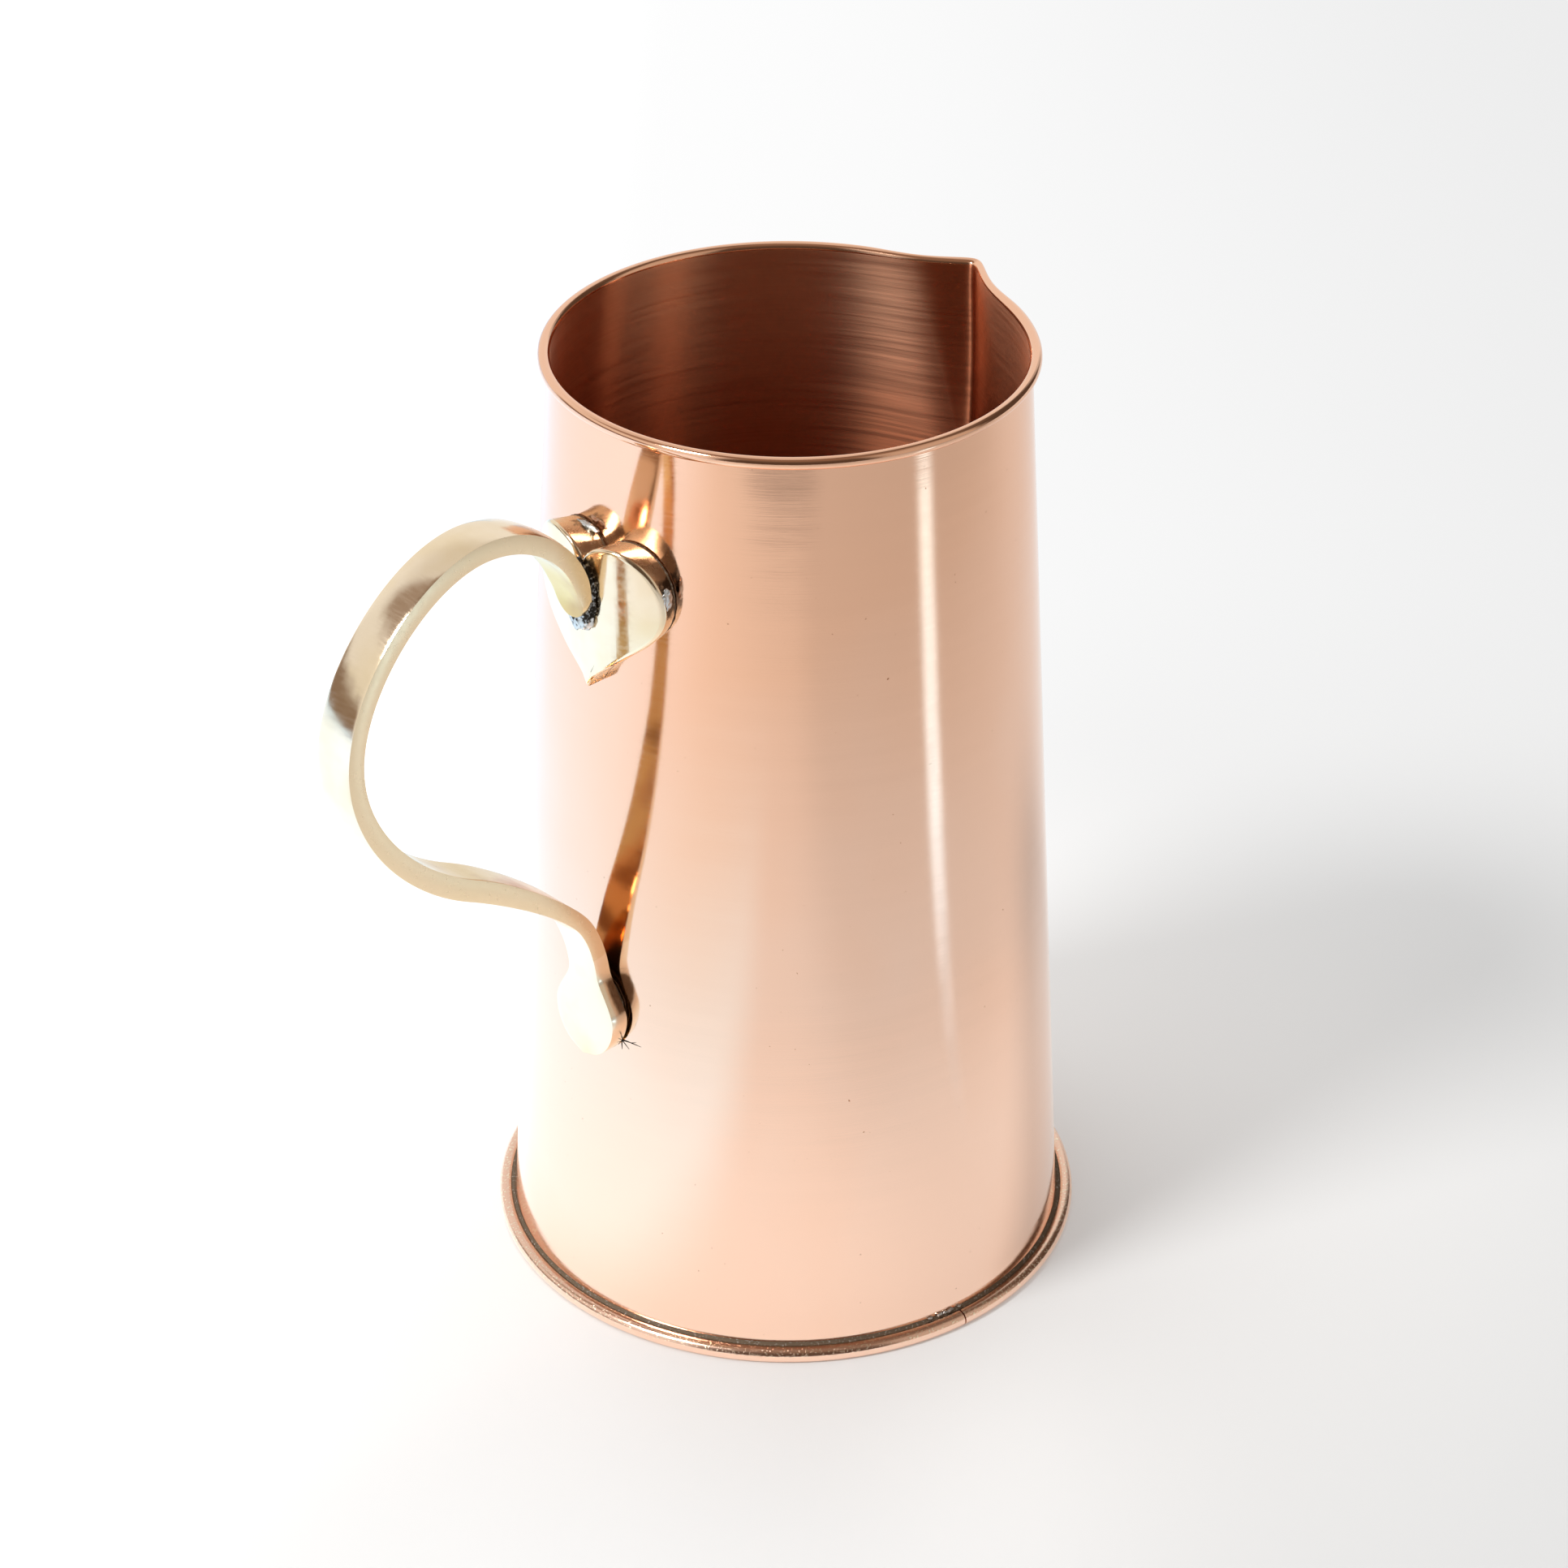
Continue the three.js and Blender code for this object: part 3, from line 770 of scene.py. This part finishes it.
class PITCHER_OT_heart(bpy.types.Operator):
    """Models the heart-shaped brass plate that the strap springs from."""

    bl_idname = "pitcher.heart"
    bl_label = "Heart plate"

    def execute(self, context):
        sizes = context.scene.pitcher_sizes
        colours = context.scene.pitcher_colours
        bm = bmesh.new()
        outline = [bm.verts.new((0, -point.x, point.y)) for point in heart_outline()]
        front = bm.faces.new(outline)
        rounding = sizes.heart_round / MM
        rings = 5
        reached = 0
        for i in range(1, rings + 1):
            turn = math.pi / 2 * i / rings
            inset = rounding * (1 - math.cos(turn))
            bmesh.ops.inset_region(
                bm, faces=[front], thickness=inset - reached, use_even_offset=True, use_boundary=True
            )
            reached = inset
            for vert in front.verts:
                vert.co.x = -rounding * math.sin(turn)
        strips = 26
        for i in range(1, strips):
            cut = HEART_HALF_WIDTH * (2 * i / strips - 1)
            bmesh.ops.bisect_plane(bm, geom=everything(bm), plane_co=(0, cut, 0), plane_no=(0, 1, 0))
        made = bmesh.ops.extrude_face_region(bm, geom=list(bm.faces))
        back = {part for part in made["geom"] if isinstance(part, bmesh.types.BMVert)}
        for face in bm.faces:
            behind = sum(vert in back for vert in face.verts)
            face.material_index = int(0 < behind < len(face.verts))
        for vert in bm.verts:
            across, up = vert.co.y, vert.co.z
            if vert in back:
                across *= 1 - HEART_DRAW_IN
                up -= HEART_DRAW_IN * max(up - HEART_MIDDLE, 0)
                reach = wall_radius(up) + HEART_STANDOFF
                vert.co = Vector((-math.sqrt(reach**2 - across**2), across, up))
            else:
                vert.co.x -= heart_front(across, up) - rounding
        bmesh.ops.recalc_face_normals(bm, faces=list(bm.faces))
        finishes = [polished_brass(colours), stained_brass(colours)]
        finished_piece(bm, "brass_heart", finishes, ["heart_plate"], sharp=38)
        return {"FINISHED"}


# Handle strap


def strap_line():
    """Points of the strap's centre line, and the distance along it of each."""
    points = []
    for knots in STRAP_CURVES:
        line = interpolate_bezier(*[Vector((x, z, 0)) for x, z in knots], 200)
        points += line if not points else line[1:]
    distances = [0.0]
    for before, after in zip(points, points[1:]):
        distances.append(distances[-1] + (after - before).length)
    return points, distances


STRAP_POINTS, STRAP_DISTANCES = strap_line()
STRAP_LENGTH = STRAP_DISTANCES[-1]


def strap_place(distance):
    """The centre line's point and direction at a distance along it."""
    i = clamp(bisect(STRAP_DISTANCES, distance) - 1, 0, len(STRAP_DISTANCES) - 2)
    before, after = STRAP_POINTS[i], STRAP_POINTS[i + 1]
    span = STRAP_DISTANCES[i + 1] - STRAP_DISTANCES[i]
    share = clamp((distance - STRAP_DISTANCES[i]) / span)
    return before.lerp(after, share), (after - before).normalized()


def strap_thickness(distance):
    for (start, thin), (end, thick) in zip(STRAP_THICKNESS, STRAP_THICKNESS[1:]):
        if distance <= end:
            return blend(thin, thick, ease(distance, start, end))
    return STRAP_THICKNESS[-1][1]


def strap_half_width(full, distance):
    """Half the strap's width: round at both ends, wide at the tongue and narrow just above it."""
    from_end = STRAP_LENGTH - distance
    if distance < STRAP_END_ROUND:
        return (full - STRAP_TOP_NARROWING) * math.sqrt(1 - (1 - distance / STRAP_END_ROUND) ** 2)
    if from_end < TONGUE_ROUND:
        return TONGUE_HALF_WIDTH * math.sqrt(1 - (1 - from_end / TONGUE_ROUND) ** 2)
    neck = full - STRAP_NECK_NARROWING
    if from_end < TONGUE_NECK:
        return blend(TONGUE_HALF_WIDTH, neck, ease(from_end, TONGUE_ROUND, TONGUE_NECK))
    at_top = STRAP_TOP_NARROWING * (1 - ease(distance, STRAP_END_ROUND, STRAP_TOP_LENGTH))
    at_neck = STRAP_NECK_NARROWING * (1 - ease(from_end, TONGUE_NECK, STRAP_NECK_LENGTH))
    return full - at_top - at_neck


def strap_station(share):
    """Distances along the strap, closer together round its two ends."""
    ends = 0.14
    blunt = 0.05
    if share < ends:
        return STRAP_END_ROUND * (1 - math.cos(share / ends * math.pi / 2)) + blunt
    if share > 1 - ends:
        return STRAP_LENGTH - TONGUE_ROUND * (1 - math.cos((1 - share) / ends * math.pi / 2)) - blunt
    return blend(STRAP_END_ROUND, STRAP_LENGTH - TONGUE_ROUND, (share - ends) / (1 - 2 * ends))


def bend_strap(full, point):
    """The place of a point of a unit box once it is bent along the strap's centre line."""
    distance = strap_station(point.z + 0.5)
    at, along = strap_place(distance)
    across = 2 * point.x
    crown = STRAP_CROWN * (1 - across * across) if point.y > 0 else 0
    out = 2 * point.y * strap_thickness(distance) / 2 + crown * 2 * point.y
    drift = TONGUE_DRIFT * ease(distance, TONGUE_DRIFT_START, STRAP_LENGTH - TONGUE_ROUND)
    side = across * max(strap_half_width(full, distance), 0.5)
    hollow = side * side / (2 * FOOT_RADIUS) if point.y < 0 else 0
    saddle = hollow * (1 - ease(STRAP_LENGTH - distance, TONGUE_ROUND, TONGUE_NECK))
    return Vector((-(at.x - along.y * out - saddle), -(side + drift), at.y + along.x * out))


class PITCHER_OT_strap(bpy.types.Operator):
    """Models the handle strap: a bar bent along its line, flared into a tongue at its foot."""

    bl_idname = "pitcher.strap"
    bl_label = "Handle strap"

    def execute(self, context):
        sizes = context.scene.pitcher_sizes
        colours = context.scene.pitcher_colours
        full = sizes.strap_half_width / MM
        bm = bmesh.new()
        bmesh.ops.create_cube(bm, size=1)

        def edges_along(axis):
            return [edge for edge in bm.edges if abs((edge.verts[0].co - edge.verts[1].co)[axis]) > 0.9]

        bmesh.ops.subdivide_edges(bm, edges=edges_along(2), cuts=230, use_grid_fill=True)
        bmesh.ops.subdivide_edges(bm, edges=edges_along(0), cuts=11, use_grid_fill=True)
        corners = [edge for edge in bm.edges if edge.calc_face_angle(0) > 1]
        for face in bm.faces:
            distance = strap_station(clamp(face.calc_center_median().z + 0.5))
            filed = abs(face.normal.y) < 0.5 and distance < STRAP_LENGTH - TONGUE_SHINE
            face.material_index = 2 if face.normal.y < -0.5 else int(filed)
        for vert in bm.verts:
            vert.co = bend_strap(full, vert.co)
        bmesh.ops.recalc_face_normals(bm, faces=list(bm.faces))
        rounded = bmesh.ops.bevel(
            bm,
            geom=corners,
            offset=sizes.edge_round / MM,
            segments=3,
            profile=0.5,
            affect="EDGES",
            clamp_overlap=True,
            material=-1,
        )
        for face in rounded["faces"]:
            face.material_index = 0
        if bm.calc_volume(signed=True) < 0:
            bmesh.ops.reverse_faces(bm, faces=list(bm.faces))
        finishes = [bpy.data.materials["polished_brass"], filed_brass(colours), tarnished_brass(colours)]
        finished_piece(bm, "brass_strap", finishes, ["handle_strap"], sharp=38)
        return {"FINISHED"}


# Solder and the nodes that stay


def on_wall(across, up):
    """A place on the wall below the handle, told as across and up."""
    return Vector((-math.sqrt(wall_radius(up) ** 2 - across**2), across, up))


class PITCHER_OT_solder(bpy.types.Operator):
    """Models the solder that ran out round the strap's end and at the heart's edges."""

    bl_idname = "pitcher.solder"
    bl_label = "Solder round the heart"

    def execute(self, context):
        colours = context.scene.pitcher_colours
        low, high = (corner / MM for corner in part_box("strap_solder"))
        bm = bmesh.new()
        middle = (low + high) / 2
        lump(bm, (middle.x + 0.2, 0, middle.z + 0.8), (1.7, 5.0, 9.1), 0.3)
        finish = solder_finish(colours, "strap_solder_finish", 0.25, below=0.2045)
        finished_piece(bm, "strap_fillet", [finish], ["strap_solder"], sharp=80)

        bm = bmesh.new()
        for place, radii in ((HEART_EDGE_DROP, (1.6, 0.7, 3.0)), (HEART_LOBE_DROP, (0.8, 4.2, 0.9))):
            lump(bm, place, radii, 0.3)
        finished_piece(bm, "heart_solder_drops", [bpy.data.materials["bright_solder"]], sharp=80)

        bm = bmesh.new()
        for start, end, thick in WALL_CRACKS:
            start, end = on_wall(*start), on_wall(*end)
            along = end - start
            turn = along.to_track_quat("Z", "Y").to_matrix().to_4x4()
            bmesh.ops.create_cone(
                bm,
                cap_ends=True,
                segments=8,
                radius1=thick,
                radius2=thick / 3,
                depth=along.length,
                matrix=Matrix.Translation((start + end) / 2) @ turn,
            )
        finish = solder_finish(colours, "crack_flux", -0.3)
        finished_piece(bm, "flux_cracks", [finish], sharp=80)
        return {"FINISHED"}


class PITCHER_OT_inner_parts(bpy.types.Operator):
    """Gives the CAD pieces that stay their own finishes."""

    bl_idname = "pitcher.inner_parts"
    bl_label = "Disc, wire, seam and solder"

    def execute(self, context):
        finishes = {
            "brushed_copper_inside": ("bottom_disc", "side_seam", "rim_wire"),
            "dark_solder": ("bottom_solder", "heart_solder", "tongue_solder"),
        }
        for finish, names in finishes.items():
            for name in names:
                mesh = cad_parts[name].data
                for i in range(len(mesh.materials)):
                    mesh.materials[i] = bpy.data.materials[finish]
        return {"FINISHED"}


# Stage


def area_lamp(name, place, target, size, watts, shape):
    lamp = bpy.data.lights.new(name, "AREA")
    lamp.shape = shape
    lamp.size = size
    lamp.energy = watts
    piece = bpy.data.objects.new(name, lamp)
    piece.location = place
    piece.rotation_mode = "QUATERNION"
    piece.rotation_quaternion = (Vector(target) - Vector(place)).to_track_quat("-Z", "Y")
    bpy.context.scene.collection.objects.link(piece)
    piece.visible_camera = False
    return piece


def stage_object(bm, name, material):
    """Puts a mesh that was made in metres in the scene."""
    mesh = bpy.data.meshes.new(name)
    bm.to_mesh(mesh)
    bm.free()
    mesh.materials.append(material)
    made = bpy.data.objects.new(name, mesh)
    bpy.context.scene.collection.objects.link(made)
    return made


def across_and_away(across, away, up):
    """A place told as across and away from the camera, from the pitcher's axis, and up."""
    return Vector((across + away, away - across, 0)) / math.sqrt(2) + Vector((0, 0, up))


def floor_paper(light):
    """Pale paper, darker out in front and at the right as painted shade, and white at the left and far
    behind.

    Metal mirrors more in it: a dark spot in front, a painted reflection, warm light round the foot, cool
    light at the left.
    """
    paper = Nodes(bpy.data.materials.new("floor_paper"))
    place = paper.place()
    across, away = paper.photo_directions(place)[:2]
    reach = paper.vector_maths("LENGTH", place)
    rays = paper.add("LightPath")
    glossy = rays["Is Glossy Ray"]
    seen = paper.sum(paper.sum(rays["Is Camera Ray"], glossy), rays["Is Transmission Ray"])

    # Painted shade: the floor darkens out in front and at the right, as the light falls off
    front = paper.eased(paper.sum(across, away, 0.6, -0.8), 0.05, 0.6, 1.0, light.floor_front)
    right = paper.eased(across, 0.0, 0.13, 1.0, 0.905)
    # Painted reflection: a soft dark spot out in front that only metal sees
    spot_sides = {"X": paper.sum(across, 0.05), "Y": paper.sum(away, 0.72, 4.5, 4.5)}
    from_spot = paper.vector_maths("LENGTH", paper.add("CombineXYZ", spot_sides)["Vector"])
    spot = paper.eased(from_spot, 0.13, 0.3, light.floor_spot, 1.0)
    spot = paper.maths("MAXIMUM", spot, paper.sum(glossy, 1.0, -1.0))
    tone = paper.product(paper.product(front, right), spot)
    lit = paper.add("BsdfDiffuse", {"Color": paper.mixed(tone, (0, 0, 0), light.floor)})[0]

    leftwards = paper.sum(across, away, -1.0, 0.5)
    glow = paper.product(paper.eased(leftwards, 0.02, 0.5, 0.0, light.floor_glow), seen)
    lit = paper.both(lit, paper.emission(glow, paper.mixed(glossy, (1, 1, 1), (0.12, 0.34, 0.62))))

    rays_share = paper.product(rays["Is Camera Ray"], paper.eased(across, 0.0, 0.07, 0.0, 0.5))
    bounce = paper.eased(reach, 0.27, 0.09, 0.0, light.copper_bounce)
    bounce = paper.product(bounce, paper.sum(rays_share, glossy))
    lit = paper.both(lit, paper.emission(bounce, (1.0, 0.95, 0.9, 1)))

    near = paper.product(paper.eased(reach, 0.5, 0.16, 0.0, light.near_glow), glossy)
    near = paper.product(near, paper.eased(across, -0.035, -0.1))
    lit = paper.both(lit, paper.emission(near, (0.1, 0.65, 1.0, 1)))

    white = paper.emission(paper.eased(across, -0.1, 0.4, 0.99, 0.84))
    far = paper.product(paper.eased(away, 0.06, 0.38), seen)
    far = paper.product(far, paper.eased(across, -0.25, -0.05))
    return paper.surfaced(paper.add("MixShader", {0: far, 1: lit, 2: white})[0])


def studio_world(light):
    """The studio. Metal mirrors its bright and brown parts, and all else is lit by an even grey."""
    studio = Nodes(bpy.data.worlds.new("studio"))
    direction = studio.add("TexCoord")["Generated"]
    across, away, up = studio.photo_directions(direction)
    heading = studio.maths("ARCTAN2", away, across)
    wander = studio.add("TexNoise", {"Vector": direction, "Scale": 7.0, "Detail": 2.0})["Fac"]
    wander = studio.ranged(wander, 0.3, 0.7, -1.0, 1.0)

    brown = (0.27, 0.19, 0.14)
    pale = (0.86, 0.84, 0.80)
    soft = (0.36, 0.27, 0.21)
    dark = tuple(light.front)
    bright = tuple(light.backdrop)
    window = tuple(light.window)
    headings = (
        (-180, bright), (-128, bright), (-116, dark), (-56, dark), (-44, window), (-4, window),
        (8, dark), (48, dark), (66, bright), (180, bright),
    )
    turn = studio.sum(studio.ranged(heading, -math.pi, math.pi), wander, 1.0, 0.012)
    around = studio.colour_ramp(turn, [(0.5 + degrees / 360, tone) for degrees, tone in headings])
    raised = studio.sum(up, wander, 1.0, 0.04)
    levels = [(0, brown), (0.26, brown), (0.36, pale), (0.62, pale), (0.72, soft), (1, soft)]
    bands = studio.colour_ramp(studio.ranged(raised, -0.1, 1.0), levels)
    off_right = studio.maths("ABSOLUTE", heading)
    left = studio.eased(off_right, math.radians(144), math.radians(158))
    sides = studio.mixed(left, around, bands)
    sides = studio.mixed(studio.eased(up, 0.5, 0.8, 0.0, 0.3), sides, soft)
    overhead = studio.product(studio.eased(up, 0.75, 0.9), studio.eased(away, 0.14, -0.05))
    mirrored = studio.mixed(overhead, sides, brown)
    rays = studio.add("LightPath")
    even = (light.surroundings, light.surroundings, light.surroundings)
    seen = studio.mixed(rays["Is Glossy Ray"], even, mirrored)
    colour = studio.mixed(rays["Is Camera Ray"], seen, bright)
    studio.tree.links.new(colour, studio.tree.nodes["Background"].inputs["Color"])
    return studio.owner


def strip_shine(light, sideways):
    """The light strip's glow: stronger and cooler far out, soft at its edges and at its near end."""
    shine = Nodes(bpy.data.materials.new("light_strip"))
    place = shine.place()
    reach = shine.vector_maths("LENGTH", place)
    patchy = shine.ranged(shine.noise(40), 0.35, 0.65, 0.8, 1.15)
    side_way = across_and_away(sideways.x, sideways.y, 0)
    off_line = across_and_away(*STRIP_NEAR, 0).dot(side_way)
    aside = shine.vector_maths("DOT_PRODUCT", place, side_way)
    aside = shine.maths("ABSOLUTE", shine.sum(aside, -off_line))
    widths = shine.ranged(reach, STRIP_NEAR.length, STRIP_FAR.length, *STRIP_HALF_WIDTHS)
    aside = shine.maths("DIVIDE", aside, widths)
    strength = shine.product(shine.eased(reach, 0.1, 0.42, 1.05, light.strip), patchy)
    colour = shine.mixed(shine.eased(reach, 0.1, 0.42), (0.85, 0.95, 1.05), (0.6, 0.82, 1.0))
    soft = shine.product(shine.eased(aside, 1.0, 0.15), shine.eased(reach, 0.12, 0.36))
    clear = shine.add("BsdfTransparent")[0]
    glow = shine.emission(strength, colour)
    return shine.surfaced(shine.add("MixShader", {0: soft, 1: clear, 2: glow})[0])


class PITCHER_OT_stage(bpy.types.Operator):
    """Sets the camera of the photograph, the pale floor and the soft studio light."""

    bl_idname = "pitcher.stage"
    bl_label = "Camera, floor and light"

    def execute(self, context):
        scene = context.scene
        light = scene.pitcher_light
        scene.view_settings.view_transform = "Standard"
        lens = bpy.data.cameras.new("photo_camera")
        lens.lens = CAMERA_LENS
        lens.sensor_width = 36
        lens.clip_start = 0.05
        camera = bpy.data.objects.new("photo_camera", lens)
        camera.location = CAMERA_PLACE
        aim = Matrix.Rotation(CAMERA_HEADING, 3, "Z") @ Matrix.Rotation(CAMERA_PITCH, 3, "X")
        camera.rotation_mode = "QUATERNION"
        camera.rotation_quaternion = (aim @ Matrix.Rotation(CAMERA_ROLL, 3, "Z")).to_quaternion()
        scene.collection.objects.link(camera)
        scene.camera = camera

        bm = bmesh.new()
        bmesh.ops.create_circle(bm, cap_ends=True, radius=FLOOR_RADIUS, segments=96)
        floor = stage_object(bm, "floor", floor_paper(light))

        level = KEY_DISTANCE * math.cos(KEY_HEIGHT)
        key_place = across_and_away(
            level * math.cos(KEY_HEADING), level * math.sin(KEY_HEADING), KEY_DISTANCE * math.sin(KEY_HEIGHT)
        )
        area_lamp("key_lamp", key_place, (0, 0, 0.1), 0.95, light.key, "DISK")
        above = across_and_away(-0.35, 0.3, 1.35)
        softbox = area_lamp("overhead_softbox", above, (0, 0, 0), 0.9, light.overhead, "SQUARE")
        softbox.visible_glossy = False

        heading = (STRIP_FAR - STRIP_NEAR).normalized()
        sideways = Vector((-heading.y, heading.x))
        narrow, wide = STRIP_HALF_WIDTHS
        bm = bmesh.new()
        corners = []
        ends = (STRIP_NEAR, STRIP_FAR, STRIP_FAR, STRIP_NEAR)
        for end, reach in zip(ends, (narrow, wide, -wide, -narrow)):
            corner = end + reach * sideways
            corners.append(bm.verts.new(across_and_away(corner.x, corner.y, STRIP_HEIGHT)))
        bm.faces.new(corners)
        bmesh.ops.recalc_face_normals(bm, faces=list(bm.faces))
        strip = stage_object(bm, "light_strip", strip_shine(light, sideways))
        for way in ("visible_camera", "visible_diffuse", "visible_shadow", "visible_transmission"):
            setattr(strip, way, False)

        scene.world = studio_world(light)
        return {"FINISHED"}


class PITCHER_PT_panel(bpy.types.Panel):
    """Lists the steps that model the pitcher."""

    bl_label = "Pitcher"
    bl_idname = "PITCHER_PT_panel"
    bl_space_type = "VIEW_3D"
    bl_region_type = "UI"
    bl_category = "Pitcher"

    def draw(self, context):
        column = self.layout.column()
        for step in STEPS:
            column.operator(step.bl_idname)


STEPS = (
    PITCHER_OT_body,
    PITCHER_OT_foot,
    PITCHER_OT_heart,
    PITCHER_OT_strap,
    PITCHER_OT_solder,
    PITCHER_OT_inner_parts,
    PITCHER_OT_stage,
)
GROUPS = (PitcherSizes, PitcherColours, PitcherLight)


def register():
    for made in GROUPS + STEPS + (PITCHER_PT_panel,):
        bpy.utils.register_class(made)
    bpy.types.Scene.pitcher_sizes = PointerProperty(type=PitcherSizes)
    bpy.types.Scene.pitcher_colours = PointerProperty(type=PitcherColours)
    bpy.types.Scene.pitcher_light = PointerProperty(type=PitcherLight)


def unregister():
    del bpy.types.Scene.pitcher_light
    del bpy.types.Scene.pitcher_colours
    del bpy.types.Scene.pitcher_sizes
    for made in reversed(GROUPS + STEPS + (PITCHER_PT_panel,)):
        bpy.utils.unregister_class(made)


def main():
    register()
    bpy.ops.pitcher.body()
    bpy.ops.pitcher.foot()
    bpy.ops.pitcher.heart()
    bpy.ops.pitcher.strap()
    bpy.ops.pitcher.solder()
    bpy.ops.pitcher.inner_parts()
    bpy.ops.pitcher.stage()


if __name__ == "__main__":
    main()
